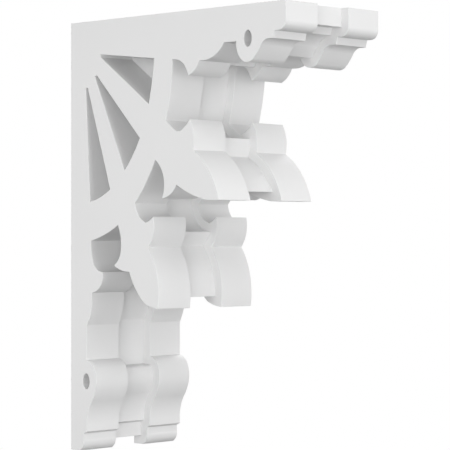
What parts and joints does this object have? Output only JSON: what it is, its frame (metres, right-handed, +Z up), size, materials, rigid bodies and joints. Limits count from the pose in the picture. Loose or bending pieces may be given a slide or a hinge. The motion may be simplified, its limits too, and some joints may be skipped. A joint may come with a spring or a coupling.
{
  "type": "corbel",
  "caption": "Fretwork corbel of glued plies, with a pierced quarter ring, spokes and leaf-shaped petals between a top arm and a wall leg, for under a porch roof or eave.",
  "frame": {"origin": "middle of the flat wall face, half way up and at mid width", "axes": "+Y points into the wall, so the corbel reaches out along -Y; +Z is up; +X runs across the plies"},
  "size_m": [0.1396, 0.311, 0.4572],
  "materials": {
    "outer_ply": "factory white expanded PVC board, smooth and slightly satin, cut edges a little more matt",
    "core_ply": "factory white expanded PVC board, smooth and slightly satin, cut edges a little more matt"
  },
  "bodies": {
    "root": {"left_ply": "outer_ply", "core_ply": "core_ply", "right_ply": "outer_ply"}
  },
  "joints": []
}
